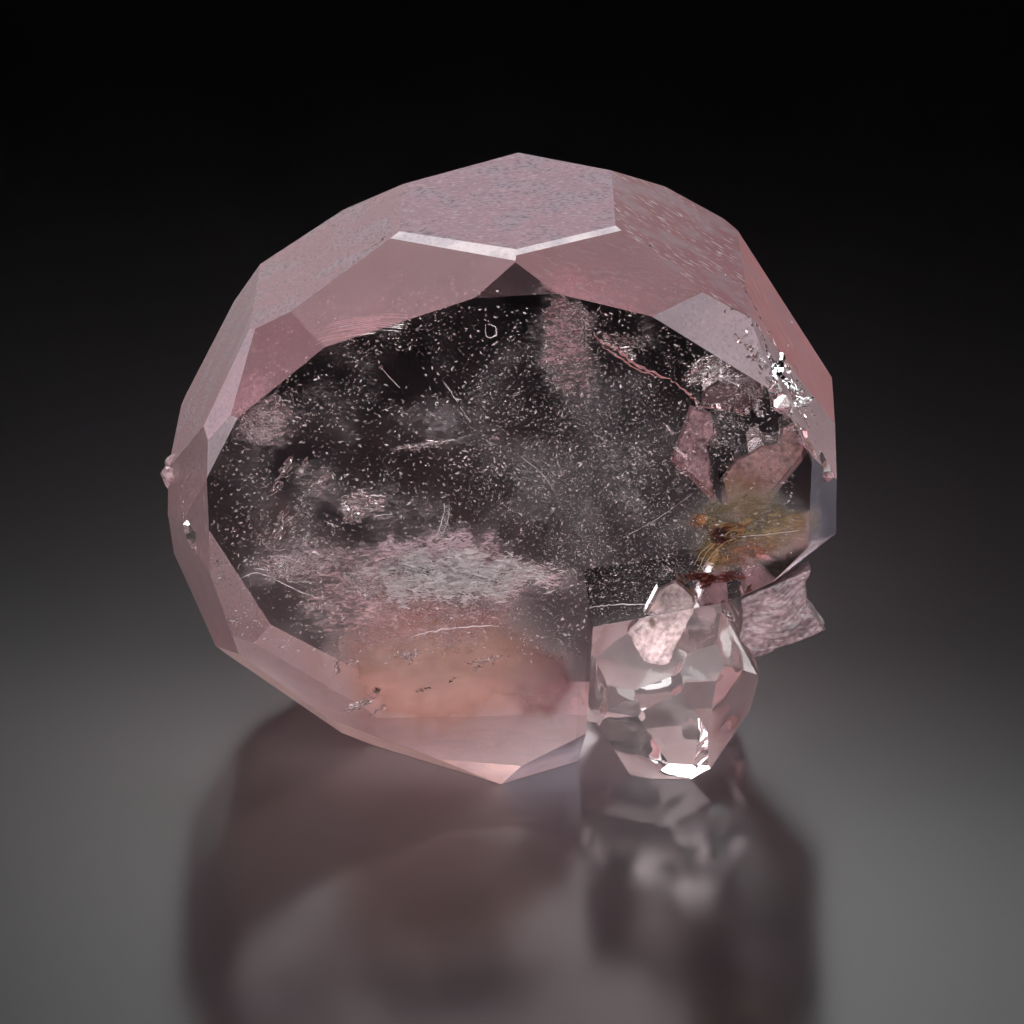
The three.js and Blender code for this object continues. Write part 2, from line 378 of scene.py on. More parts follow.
def finishFaces(piece):
    kinds = {"frost": "FLOAT", "pits_and_shade": "FLOAT", "flecks": "FLOAT", "ripple": "FLOAT", "tone": "FLOAT_COLOR",
             "streak": "FLOAT_VECTOR"}
    for name, kind in kinds.items():
        piece.data.attributes.new(name, kind, "FACE")
    layers = {name: piece.data.attributes[name] for name in kinds}
    known = [(faceNormal(*one), name) for name, finish in finishes.items() for one in finish["faces"]]
    right, front, below = (value * mm for value in crystal["smallCrystal"])
    socketsFrom, square = crystal["sockets"]
    closest = math.cos(math.radians(crystal["knownWithin"]))
    numbers = [name for name, kind in kinds.items() if kind == "FLOAT"]
    for face in piece.data.polygons:
        normal, name = max(known, key=lambda one: one[0].dot(face.normal))
        if face.center.x > right and face.center.y < front and face.center.z < below:
            name = "small top" if face.normal.z > crystal["smallTop"] else "small crystal"
        elif normal.dot(face.normal) < closest:
            name = "socket" if face.center.x > socketsFrom * mm and abs(face.normal.y) > square else "broken"
            if face.center.x < crystal["leftLumps"] * mm:
                name = "lumps"
        finish = {**plainFinish, **finishes[name]}
        for number in numbers:
            layers[number].data[face.index].value = finish[number]
        layers["tone"].data[face.index].color = fromHex(finish["tone"])
        layers["streak"].data[face.index].vector = finish["streak"]
        face.use_smooth = False


# Splinters broken out of the surface along the clear end's edges: a path of [x, y, z, size] in mm from the
# crystal's middle, laid on the nearest surface.
breaks = {
    "seed": 5,
    "paths": [
        [(20.0, -3.0, 20.0, 0.5), (21.5, -5.5, 18.2, 0.8), (22.8, -7.2, 16.2, 1.0), (24.3, -8.4, 13.5, 1.0),
         (25.5, -7.8, 11.5, 0.9), (26.6, -7.2, 9.5, 0.8), (27.4, -9.0, 7.6, 0.6)],
        [(19.6, -12.0, 20.4, 0.6), (22.0, -11.5, 17.6, 0.9), (24.0, -12.0, 14.4, 1.1),
         (25.8, -12.0, 11.4, 1.0), (27.2, -12.0, 8.6, 0.7)],
        [(20.0, -14.8, 19.0, 0.6), (22.4, -15.6, 16.0, 0.9), (24.6, -16.0, 12.8, 1.0),
         (26.2, -15.6, 9.8, 0.8)],
        [(-14.2, -8.0, 23.0, 0.5), (-12.4, -7.0, 23.8, 0.6), (-10.8, -6.0, 24.6, 0.4)],
        [(10.4, -6.0, 24.6, 0.4), (12.0, -7.0, 23.8, 0.5), (14.6, -7.0, 22.4, 0.4)],
        [(-29.4, -12.9, -2.2, 0.4), (-30.4, -10.6, 0.6, 0.5), (-31.0, -8.0, 2.4, 0.4)],
    ],
    "spacing": 0.3,  # mm along the path
    "scatter": 0.45,  # mm around it
    "sizes": (0.25, 0.8),  # of the size given
    "corners": 9,
    "bluntness": (0.6, 1.0),  # how far out a corner stands
}


def splinter(dice, place, size):
    # a sharp stone with flat sides, as points and faces in mm
    stone = bmesh.new()
    for _ in range(breaks["corners"]):
        way = Vector((dice.gauss(0, 1), dice.gauss(0, 1), dice.gauss(0, 1))).normalized()
        stone.verts.new(place + size * dice.uniform(*breaks["bluntness"]) * way)
    hull = bmesh.ops.convex_hull(stone, input=stone.verts)
    bmesh.ops.delete(stone, geom=[v for v in hull["geom_interior"] if isinstance(v, bmesh.types.BMVert)],
                     context="VERTS")
    stone.verts.index_update()
    points = [v.co.copy() for v in stone.verts]
    faces = [tuple(v.index for v in face.verts) for face in stone.faces]
    stone.free()
    return points, faces


def surfaceTree(piece):
    mesh = piece.data
    return BVHTree.FromPolygons([corner.co for corner in mesh.vertices],
                                [face.vertices for face in mesh.polygons])


def keepLargest(piece):
    # drops the chips that the cuts left loose
    shell = bmesh.new()
    shell.from_mesh(piece.data)
    unseen, islands = set(shell.verts), []
    while unseen:
        island, edge = set(), [next(iter(unseen))]
        while edge:
            vertex = edge.pop()
            if vertex in unseen:
                unseen.discard(vertex)
                island.add(vertex)
                edge += [link.other_vert(vertex) for link in vertex.link_edges]
        islands.append(island)
    islands.sort(key=len)
    bmesh.ops.delete(shell, geom=[vertex for island in islands[:-1] for vertex in island], context="VERTS")
    shell.to_mesh(piece.data)
    shell.free()
    print("   ", len(islands) - 1, "loose chips dropped")


def breakEdges(piece):
    dice = random.Random(breaks["seed"])
    whole = surfaceTree(piece)
    points, faces = [], []
    for path in breaks["paths"]:
        for start, end in zip(path, path[1:]):
            steps = max(1, round((Vector(end[:3]) - Vector(start[:3])).length / breaks["spacing"]))
            for step in range(steps):
                at = Vector(start).to_4d().lerp(Vector(end).to_4d(), step / steps)
                shift = Vector([dice.gauss(0, breaks["scatter"]) for _ in range(3)])
                spot = whole.find_nearest((middle + at.xyz + shift) * mm)[0] / mm
                more, sides = splinter(dice, spot, at[3] * dice.uniform(*breaks["sizes"]))
                faces += [tuple(i + len(points) for i in side) for side in sides]
                points += more
    cutter = meshPiece("splinters", points, faces)
    cut = piece.modifiers.new("breaks", "BOOLEAN")
    cut.object = cutter
    cut.operation = "DIFFERENCE"
    cut.solver = "EXACT"
    cut.use_self = True
    applyModifiers(piece)
    bpy.data.objects.remove(cutter)
    keepLargest(piece)


def makeCrystal():
    piece = weldedCopy("beryl_body", "morganite_crystal", crystal["flatWithin"])
    breakEdges(piece)
    finishFaces(piece)
    finishPiece(piece, berylFinish())
    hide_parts("morganite_crystal")
    print("crystal made,", len(piece.data.polygons), "faces")
    return piece


berylTree = surfaceTree(makeCrystal())
slant = Vector((0.31, 0.9, 0.3)).normalized()  # a way that lies along no face
hop = 0.001  # mm past a face that a ray has met


def isInside(place, margin):
    # place in mm from the part's origin, margin in mm under the surface
    start = Vector(place) * mm
    spot, normal, _, away = berylTree.find_nearest(start)
    if away < margin * mm:
        return False
    if (spot - start).dot(normal) > 0:
        return True
    crossings = 0
    while start is not None:  # beside a corner the nearest face can mislead
        start = berylTree.ray_cast(start, slant)[0]
        if start is not None:
            crossings += 1
            start += slant * hop * mm
    return crossings % 2 == 1


# Each blade is [base colour, its ridges' direction in the front view in degrees].
blades = {
    "albite_blade_front": ("c4a8a8", 62),
    "albite_blade_right": ("765f64", 28),
    "albite_blade_diagonal": ("ccb8b2", 50),
    "albite_blade_left": ("b8a0a4", 75),
    "albite_blade_upper": ("645258", 68),
}
bladeGrain = {
    "voxel": 0.17,  # mm, the mesh of a blade
    "ridge": (2.4, 1.5, 0.22),  # mm along, through and across a growth ridge
    "ridgeHeight": 0.04,  # mm
    "bow": (0.35, 0.9),  # mm that the ridges bend, and how often
    "sway": (0.5, 0.4),  # the same, unevenly
    "lumps": (1.5, 0.5),  # mm from large lump to lump, and from small to small
    "lumpHeight": 0.16,  # mm
    "sunk": 0.4,  # of that height, so that a blade stays in its socket
    "grain": (0.45, 5.0),  # mm from fleck to fleck, and how much finer detail
    "mottle": (2.2, 4.0),
    "contrast": (0.75, 1.25, 0.38, 1.35),  # both noises, to how bright it is
    "bumpHeight": 0.08,  # mm
}
stainEdge = (1.1, 0.5, 0.0, 0.8)  # from and to these reaches of its middle, a stain goes from clear to full
stains = {  # place in mm from the crystal's middle, reach in mm, colour
    "gold": ((21.0, 14, -3.4), (3.4, 4, 2.8), "a08a64"),
    "rust": ((22.5, 14, -5.8), (2.0, 4, 1.0), "8a5a44"),
    "speck": ((12.6, -14.2, -9.4), (0.35, 1, 0.6), "5c3a20"),
}


def albiteFinish(tone):
    # Albite: pearly feldspar blades, finely ridged as they grew, tinted by iron where a stain reaches them.
    material, tree = newMaterial("pearly albite " + tone)
    place = addNode(tree, "TexCoord").outputs["Object"]
    grain, mottle = (addNode(tree, "TexNoise", {
        "Vector": place, "Scale": 1 / (size * mm), "Detail": detail}).outputs["Fac"]
        for size, detail in (bladeGrain["grain"], bladeGrain["mottle"]))
    light = addNode(tree, "Math", (grain, mottle)).outputs[0]
    light = addNode(tree, "MapRange", (light, *bladeGrain["contrast"])).outputs[0]
    colour = addNode(tree, "VectorMath", {0: fromHex(tone)[:3], 3: light}, operation="SCALE").outputs[0]
    for spot, reach, tint in stains.values():
        away = distanceFrom(tree, place, middle + Vector(spot), reach)
        amount = addNode(tree, "MapRange", (away, *stainEdge)).outputs[0]
        colour = addNode(tree, "Mix", {0: amount, 6: colour, 7: fromHex(tint)}, data_type="RGBA").outputs[2]
    height = bladeGrain["bumpHeight"] * mm
    bump = addNode(tree, "Bump", {"Height": grain, "Distance": height, "Strength": 0.8}).outputs[0]
    shader = addNode(tree, "BsdfPrincipled", {
        "Base Color": colour, "Roughness": 0.42, "IOR": 1.53, "Normal": bump})
    addNode(tree, "OutputMaterial", {"Surface": shader.outputs[0]})
    return material


def makeBlade(name, tone, lean):
    piece = weldedCopy(name.replace("albite_", "") + "_ridged", name)
    remesh = piece.modifiers.new("fine mesh", "REMESH")
    remesh.mode = "VOXEL"
    remesh.voxel_size = bladeGrain["voxel"] * mm
    applyModifiers(piece)
    turn = Matrix.Rotation(math.radians(lean), 3, "Y")  # so that the ridges run along X
    along, through, across = bladeGrain["ridge"]
    (bow, often), (sway, unevenly) = bladeGrain["bow"], bladeGrain["sway"]
    large, small = bladeGrain["lumps"]
    for vertex in piece.data.vertices:
        flat = turn @ (vertex.co / mm)
        bend = bow * math.sin(flat.x * often) + sway * noise.noise(flat * unevenly)
        ridge = noise.noise(Vector((flat.x / along, flat.y / through, (flat.z + bend) / across)))
        lump = noise.noise(vertex.co / (large * mm)) + 0.5 * noise.noise(vertex.co / (small * mm))
        rise = ridge * bladeGrain["ridgeHeight"] + (lump - bladeGrain["sunk"]) * bladeGrain["lumpHeight"]
        vertex.co += vertex.normal * rise * mm
    finishPiece(piece, albiteFinish(tone))
    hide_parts(name)
    print(name, "ridged,", len(piece.data.polygons), "faces")


for name, (tone, lean) in blades.items():
    makeBlade(name, tone, lean)

# Places are in mm from the crystal's middle. A field is a box of flakes that thin out by a noise of the given
# grain; a veil is a wavy sheet of them, given by its middle, its two half sides and its thickness.
flakes = {
    "snow": {"seed": 7, "count": 92000, "rare": 5, "shade": (0.3, 1.0), "size": (0.02, 0.17),
             "stretch": (1.0, 1.8), "lean": 0.8, "field": ((-27, 25), (-16.2, -8), (-13, 21)), "grain": 5.5,
             "folds": 4.5, "bias": (-0.5, 1.0)},
    "dust": {"seed": 9, "count": 68000, "shade": (0.12, 1.0), "size": (0.018, 0.1), "stretch": (1.0, 1.5),
             "lean": 1.0, "field": ((-6, 19), (-17.5, -8), (-10, 17)), "grain": 4, "folds": 3.0,
             "bias": (-0.6, 0.9), "fade": True},
    "cloud": {"seed": 8, "count": 60000, "shade": (0.8, 1.0), "size": (0.03, 0.2), "stretch": (1.0, 5.0),
              "lean": 0.3, "field": ((-14.5, 4.5), (-16.0, -12.5), (-7.4, -1.4)), "grain": 1.6,
              "bias": (-0.2, 0.7), "fade": True},
    "veils": {"seed": 12, "shade": (0.3, 1.0), "size": (0.02, 0.085), "stretch": (1.0, 2.5), "lean": 0.4,
              "grain": 1.6, "bias": (-0.5, 0.5), "sheets": [
                  # middle, half side, other half side, wave, thickness, count
                  ((4.7, -12, 17.2), (2.2, 0.8, 0.3), (0.4, 1.5, 4.6), 0.6, 0.1, 5000),
                  ((6.1, -11, 18.6), (1.6, -0.8, 0), (-0.3, 1, 2.4), 0.5, 0.1, 1500),
                  ((-7.4, -13.5, -3.4), (5.4, 0.5, 0.2), (0.2, 1.5, 1.2), 0.8, 0.2, 9000),
                  ((0.3, -13, -4.6), (3.2, -0.5, -0.4), (0, 1.2, 1.2), 0.6, 0.2, 3500),
                  ((-18.7, -13.5, -3.1), (3.2, 0.4, 0.5), (0.3, 1.2, 0.9), 0.7, 0.15, 3500),
                  ((-12.6, -13, -5.2), (2.4, 0.3, -0.9), (0, 1, 0.8), 0.6, 0.15, 2500),
                  ((-6.0, -13, 0.6), (0.4, 0.5, 0.3), (0.5, 0.4, 1.8), 0.4, 0.15, 700),
                  ((-4.6, -13, -6.9), (5.4, 0.3, 0.2), (0.2, 1.2, 1.9), 0.8, 0.5, 5000),
                  ((-7.5, -14, 8.0), (2.5, 0.2, 0.3), (0, 0.5, 0.25), 0.3, 0.08, 700),
                  ((9.6, -13, 17.8), (2.6, 0.2, -0.4), (0, 1.0, 0.7), 0.5, 0.15, 1200),
                  ((-21.9, -14, 10.1), (2.2, 0.4, 0.2), (-0.3, 0.8, 1.8), 0.6, 0.1, 3000),
                  ((-19, -13.5, 0.5), (1.2, 0.5, 0.5), (0.4, 0.4, 2.8), 0.8, 0.2, 1800),
                  ((-22, -13, -1.5), (1.5, 0.5, 0.3), (0.2, 0.6, 2.6), 0.8, 0.2, 1200),
                  ((21.0, -13.5, 14.0), (3.4, 0.4, -1.5), (0.5, 1.5, 1.8), 0.9, 0.2, 2400),
                  ((19.0, -12.5, 9.5), (2.0, 0.3, -0.4), (0.7, 1.2, 2.4), 0.7, 0.15, 2600),
                  ((25.0, -13.5, 10.8), (1.8, 0.4, -0.6), (0, 1.0, 0.9), 0.5, 0.15, 1500),
              ]},
}
splinters = {"seed": 14, "size": (0.035, 0.13), "stretch": (3.0, 9.0), "lean": 0.35, "grain": 0.8,
             "bias": (-0.5, 0.5), "sheets": [
                 ((17.4, -12.5, 14.8), (2.2, 0.3, 1.0), (-0.3, 1, 0.9), 0.6, 0.2, 800),
                 ((23.2, -12.5, 14.6), (1.6, 0.3, -1.7), (0.8, 1, 0.8), 0.6, 0.2, 420),
                 ((25.4, -12.4, 11.3), (1.6, 0.3, -0.6), (0.2, 1, 0.6), 0.4, 0.15, 260),
                 ((21.0, -12.3, 12.6), (1.2, 0.3, -1.6), (0.5, 0.6, 0.4), 0.4, 0.15, 160),
                 ((22.4, -12.3, 8.6), (1.2, 0.3, -0.3), (0.2, 0.6, 0.3), 0.4, 0.15, 120),
                 ((-13.4, -13.5, 2.6), (2.0, 0.3, -0.3), (0.1, 0.8, 0.7), 0.5, 0.15, 380),
                 ((-19.4, -13.2, -3.8), (2.8, 0.4, -0.7), (0.3, 1, 0.8), 0.6, 0.2, 620),
                 ((-13.8, -13.2, -5.4), (2.2, 0.3, -0.9), (0, 1, 0.5), 0.5, 0.15, 320),
                 ((-8.4, -13.4, -3.7), (3.4, 0.4, -0.2), (0.1, 1, 0.9), 0.6, 0.25, 2600),
                 ((-2.0, -13.2, -4.8), (2.6, 0.3, 0.9), (0, 1, 0.6), 0.5, 0.2, 1300),
                 ((1.4, -13.2, -5.4), (0.5, 0.2, 0.4), (0, 0.4, 0.3), 0.2, 0.1, 90),
                 ((-17.6, -13.2, -7.3), (1.6, 0.2, 0), (0, 0.5, 0.15), 0.2, 0.05, 150),
                 ((-2.8, -13, -13.0), (2.0, 0.3, 0.5), (0, 0.6, 0.25), 0.3, 0.1, 160),
                 ((-9.6, -13, -12.2), (1.4, 0.2, 0.1), (0, 0.5, 0.3), 0.3, 0.1, 140),
                 ((-13.8, -12.2, -17.4), (1.6, 0.3, 0.7), (0, 0.5, 0.3), 0.3, 0.1, 160),
                 ((-8.2, -14, 8.0), (2.6, 0.3, 0.35), (0, 0.5, 0.2), 0.2, 0.05, 240),
                 ((-22.8, -14, 8.9), (0.8, 0.3, -1.0), (0.3, 0.5, 0.3), 0.3, 0.1, 120),
                 ((-20.6, -14, 5.0), (1.8, 0.3, 1.2), (-0.3, 0.6, 0.6), 0.4, 0.15, 200),
                 ((-20.4, -13.4, 0.4), (1.0, 0.3, 1.4), (0.5, 0.6, -0.3), 0.4, 0.15, 200),
                 ((9.4, -13, 17.2), (2.4, 0.3, -0.9), (0, 0.7, 0.5), 0.4, 0.15, 200)]}
stainFlakes = {
    "gold dust": {"finish": ("a88c64", 0.5), "seed": 21, "size": (0.02, 0.07), "stretch": (1.0, 3.0),
                  "lean": 0.5, "grain": 1.4, "bias": (-0.5, 0.5), "sheets": [
                      ((20.5, -11.5, 0.0), (4.2, 0.6, 0.3), (-0.2, 0.9, 1.7), 0.7, 0.4, 3600),
                      ((18.4, -12, -2.4), (2.4, 0.4, 0.5), (-0.8, 0.6, 1.8), 0.6, 0.3, 2200),
                      ((24.2, -11, -0.6), (2.6, 0.5, 0.2), (0, 0.6, 1.2), 0.5, 0.3, 1200)]},
    "rust dust": {"finish": ("a8642e", 0.6), "seed": 22, "size": (0.02, 0.08), "stretch": (1.0, 3.0),
                  "lean": 0.6, "grain": 1.0, "bias": (-0.4, 0.4), "sheets": [
                      ((18.9, -12, -0.6), (1.5, 0.3, 0.0), (0, 0.5, 1.2), 0.4, 0.3, 1800),
                      ((16.5, -12.2, 0.4), (0.9, 0.2, 0.1), (-0.1, 0.3, 0.7), 0.2, 0.1, 900),
                      ((-7.2, -12, -11.1), (0.5, 0.1, 0), (0, 0.2, 0.7), 0.2, 0.1, 130),
                      ((-6.8, -12, -9.3), (0.5, 0.1, 0), (0, 0.2, 0.4), 0.2, 0.1, 80),
                      ((-3.8, -12, -12.2), (0.5, 0.1, 0), (0, 0.2, 0.4), 0.2, 0.1, 90),
                      ((-5.1, -12, -12.3), (0.5, 0.1, 0), (0, 0.2, 0.3), 0.2, 0.1, 40)]},
    "red iron ore": {"finish": ("70200f", 0.35), "seed": 23, "size": (0.05, 0.2), "stretch": (1.0, 3.0),
                     "lean": 0.3, "grain": 0.7, "bias": (-0.3, 0.4), "sheets": [
                         ((16.2, -12.5, -4.9), (1.6, 0.2, -0.1), (0, 0.3, 0.35), 0.4, 0.15, 700),
                         ((17.3, -12.5, -5.4), (0.6, 0.2, 0.1), (0.1, 0.3, 0.8), 0.3, 0.2, 500),
                         ((19.0, -12.5, -4.9), (2.0, 0.2, 0.1), (0, 0.3, 0.35), 0.5, 0.15, 600),
                         ((18.6, -12.6, -0.9), (0.8, 0.2, 0.1), (0, 0.3, 0.8), 0.3, 0.25, 900)]},
    "black iron ore": {"finish": ("241410", 0.35), "seed": 24, "size": (0.04, 0.12), "stretch": (1.0, 2.5),
                       "lean": 0.3, "grain": 0.7, "bias": (-0.2, 0.4), "sheets": [
                           ((18.4, -12.7, -0.8), (0.6, 0.2, 0.1), (0, 0.3, 0.6), 0.2, 0.25, 700),
                           ((-12.2, -11, -16.4), (0.5, 0.1, 0), (0, 0.1, 0.3), 0.1, 0.05, 120),
                           ((-7.9, -11, -16.3), (0.9, 0.1, 0.2), (0, 0.1, 0.15), 0.1, 0.05, 110),
                           ((-5.3, -11, -15.3), (0.5, 0.1, 0.3), (0, 0.1, 0.15), 0.1, 0.05, 70)]},
}


flakeShape = {
    "corners": [(1, 0, 0), (-1, 0, 0.1), (0, 0.8, 0), (0, -0.4, 0.4)],  # half its length, its size, its size
    "faces": [(0, 1, 2), (0, 3, 1), (0, 2, 3), (1, 3, 2)],
    "rare": 3,  # the higher, the fewer large ones
    "dim": 1.5,  # the higher, the more dull ones
    "shade": (0.6, 1.0),
    "margin": 0.3,  # mm under the crystal's surface
    "bend": 2.5,  # mm from fold to fold of a veil
    "fade": (1.2, 0.9, 0.5),  # how soon a veil thins out, from where, and from where a field does
    "clumps": (3, 0.5),  # how much finer than the grain, and their share
}


def dustFinish(name, tone, roughness, ior):
    # Mineral dust in the crystal: thin scales, so fine that each shows as one plain colour.
    material, tree = newMaterial(name)
    shade = addNode(tree, "Attribute", attribute_name="shade").outputs["Fac"]
    colour = addNode(tree, "VectorMath", {0: fromHex(tone)[:3], 3: shade}, operation="SCALE").outputs[0]
    shader = addNode(tree, "BsdfPrincipled", {"Base Color": colour, "Roughness": roughness, "IOR": ior})
    addNode(tree, "OutputMaterial", {"Surface": shader.outputs[0]})
    return material


def shadeFaces(piece, shades):
    layer = piece.data.attributes.new("shade", "FLOAT", "FACE")
    for face in piece.data.polygons:
        layer.data[face.index].value = shades[face.index]


def flakeSpots(dice, kind):
    # places in mm from the crystal's middle, kept where the noise is dense enough
    tries, (soon, veilFrom, fieldFrom), (finer, share) = [], flakeShape["fade"], flakeShape["clumps"]
    if "field" in kind:
        for _ in range(kind["count"]):
            spot = Vector([dice.uniform(*side) for side in kind["field"]])
            off = [(at - (low + high) / 2) / (high - low) * 2 for at, (low, high) in zip(spot, kind["field"])]
            tries.append((spot, sum(a * a for a in off) - fieldFrom if kind.get("fade") else 0, 0))
    for spot, across, up, wave, thickness, count in kind.get("sheets", []):
        across, up = Vector(across), Vector(up)
        outward = across.cross(up).normalized()
        for _ in range(count):
            a, b = dice.uniform(-1, 1), dice.uniform(-1, 1)
            at = Vector(spot) + across * a + up * b
            at += outward * (wave * noise.noise(at / flakeShape["bend"]) * 2 + dice.gauss(0, thickness))
            tries.append((at, soon * (a * a + b * b) - veilFrom, -math.atan2(across.z, across.x)))
    for spot, off, heading in tries:
        dense = noise.noise(spot / kind["grain"])
        if "folds" in kind:  # denser along folded sheets
            dense = 1 - kind["folds"] * abs(dense)
        dense += share * noise.noise(spot * finer / kind["grain"]) - off
        if dense > dice.uniform(*kind["bias"]) and isInside(middle + spot, flakeShape["margin"]):
            yield spot, heading


def makeFlakes(name, kind, material):
    dice = random.Random(kind["seed"])
    (small, large), (dull, bright) = kind["size"], kind.get("shade", flakeShape["shade"])
    rare, dim = kind.get("rare", flakeShape["rare"]), flakeShape["dim"]
    points, faces, shades = [], [], []
    for spot, heading in flakeSpots(dice, kind):
        size = small + (large - small) * dice.random() ** rare
        length = size * dice.uniform(*kind["stretch"])
        turn = Matrix.Rotation(dice.gauss(heading, kind["lean"]), 3, "Y")
        turn = turn @ Matrix.Rotation(dice.uniform(-1, 1), 3, "Z")
        turn = turn @ Matrix.Rotation(dice.uniform(0, 6.283), 3, "X")
        faces += [tuple(corner + len(points) for corner in face) for face in flakeShape["faces"]]
        points += [middle + spot + turn @ Vector((length * x, size * y, size * z))
                   for x, y, z in flakeShape["corners"]]
        shades += [dull + (bright - dull) * dice.random() ** dim] * len(flakeShape["faces"])
    piece = meshPiece(name.replace(" ", "_"), points, faces)
    shadeFaces(piece, shades)
    finishPiece(piece, material)
    print(name, "made,", len(faces) // len(flakeShape["faces"]), "flakes")


white = dustFinish("healed crack flakes", "fff6f8", 0.25, 1.5)
for name, kind in flakes.items():
    makeFlakes(name, kind, white)
for name, kind in stainFlakes.items():
    makeFlakes(name, kind, dustFinish(name, *kind["finish"], 1.6))

# Hazy films in the crystal, each a wavy sheet across it: its depth and its wave in mm, and its clouds as
# [x, z, half width, half height in mm from the crystal's middle, turn in degrees, strength, tone].
hazes = {
    "hazy_film": {"depth": -9.6, "wave": 0.9, "cell": 0.45, "across": (-29, 15.5), "up": (-24, 24),
                  "grain": 0.3, "streaks": (0.12, 1.6), "lumps": 0.8, "base": 0.09, "clouds": [
                      (-7.4, -3.8, 5.6, 2.0, 6, 2.2, "ffe8f0"), (-1.0, -5.4, 4.8, 1.7, -4, 1.6, "ffe4ec"),
                      (-6.4, -8.6, 8.0, 3.4, 0, 0.5, "f0d0d0"), (-18.7, -4.0, 4.2, 1.8, 10, 0.6, "f4e4ea"),
                      (-14.5, -8.0, 4.4, 4.6, 30, 0.36, "eccccc"), (4.7, 16.6, 2.3, 5.2, 6, 0.5, "dcb4bc"),
                      (-21.8, 9.4, 2.3, 2.0, 0, 0.6, "e8d0d4"), (7.8, 3.5, 8.5, 6.5, -20, 0.1, "ece0e6"),
                      (-12.0, 1.5, 4.5, 1.8, -15, 0.14, "e4ccd2"), (-6.4, 9.0, 8.0, 2.4, -12, 0.1, "e0d8de"),
                      (-17.0, 3.5, 2.2, 2.6, 0, 0.18, "e0c8cc")]},
    "milky_film": {"depth": -8.2, "wave": 0.5, "cell": 0.6, "across": (-24, 12), "up": (-24, -4),
                   "grain": 3.5, "streaks": (0.9, 1.06), "lumps": 0.15, "base": 0.0, "clouds": [
                       (-6.8, -14.6, 9.2, 6.4, 4, 0.8, "eac8bc"), (3.4, -16.4, 4.0, 3.8, 0, 0.5, "b89296")]},
}
stainedHazes = {
    "stained_film": {"depth": -12.4, "wave": 0.5, "cell": 0.3, "across": (13.5, 27.5), "up": (-6.5, 5),
                     "grain": 0.35, "streaks": (0.45, 1.3), "lumps": 0.8, "base": 0.0, "clouds": [
                         (20.6, 0.4, 5.4, 3.0, 8, 0.5, "b4a484"), (24.4, -0.6, 3.0, 2.0, 0, 0.4, "c0a488"),
                         (16.4, 0.6, 0.9, 0.7, -20, 1.2, "c0703a"), (18.6, -0.7, 1.0, 0.9, 0, 1.4, "6a3418"),
                         (19.6, -0.2, 1.6, 0.6, 20, 0.8, "a4602c"), (21.5, -3.4, 4.2, 1.7, -8, 0.4, "c08878"),
                         (18.0, -3.0, 1.4, 1.8, 30, 0.5, "a08a5c")]},
}


hazeShape = {
    "tone": "ece2e8",  # between the clouds
    "drawn": (0.35, 1, 1),  # the streaks run along X
    "streaks": (0.42, 0.64),  # the part of the noise that shows
    "clearing": (0.0, 1.0, 1.0, 0.1),  # from the haze's density to how much passes through it
    "tinting": 3.0,  # how soon it takes its tone
    "swirl": (1.3, 1.1),  # mm from bend to bend of a cloud's edge, and how far it bends
    "thinning": (3.5, 0.4, 2),  # mm from thin to thick, and how much
    "falling": (1.4, 1.5),  # how soon and how steeply a cloud fades
    "lump": 1.1,  # mm
    "least": 0.05,
    "most": 2,
    "surface": (0.6, 2),  # mm under the crystal's surface where the haze starts, and over which it grows
    "margin": 0.5,  # mm under the surface where its sheet ends
    "folds": (6, 1.5, 1.5, 0.3),  # mm from fold to fold, height, mm from crease to crease, and their share
    "thickness": 0.02,  # mm
}


def hazeFinish(name, grain, streaks):
    # A film of haze: clear where it is thin, scattering light where its clouds are.
    material, tree = newMaterial(name.replace("_", " "))
    thick = addNode(tree, "Attribute", attribute_name="haze").outputs["Fac"]
    tint = addNode(tree, "Attribute", attribute_name="tone").outputs["Color"]
    place = addNode(tree, "TexCoord").outputs["Object"]
    drawn = addNode(tree, "VectorMath", (place, hazeShape["drawn"]), operation="MULTIPLY").outputs[0]
    streaky = addNode(tree, "TexNoise", {
        "Vector": drawn, "Scale": 1 / (grain * mm), "Detail": 3.0, "Roughness": 0.7, "Distortion": 0.6})
    streaky = addNode(tree, "MapRange", (streaky.outputs["Fac"], *hazeShape["streaks"], *streaks)).outputs[0]
    cover = addNode(tree, "Math", (thick, streaky), operation="MULTIPLY").outputs[0]
    clear = addNode(tree, "MapRange", (cover, *hazeShape["clearing"])).outputs[0]
    tinted = addNode(tree, "Math", (cover, hazeShape["tinting"]), operation="MULTIPLY", use_clamp=True)
    tone = addNode(tree, "Mix", {0: tinted.outputs[0], 6: (1, 1, 1, 1), 7: tint}, data_type="RGBA").outputs[2]
    shader = addNode(tree, "BsdfPrincipled", {
        "Base Color": tone, "Roughness": 0.0, "IOR": 1.0, "Transmission Weight": clear})
    addNode(tree, "OutputMaterial", {"Surface": shader.outputs[0]})
    return material


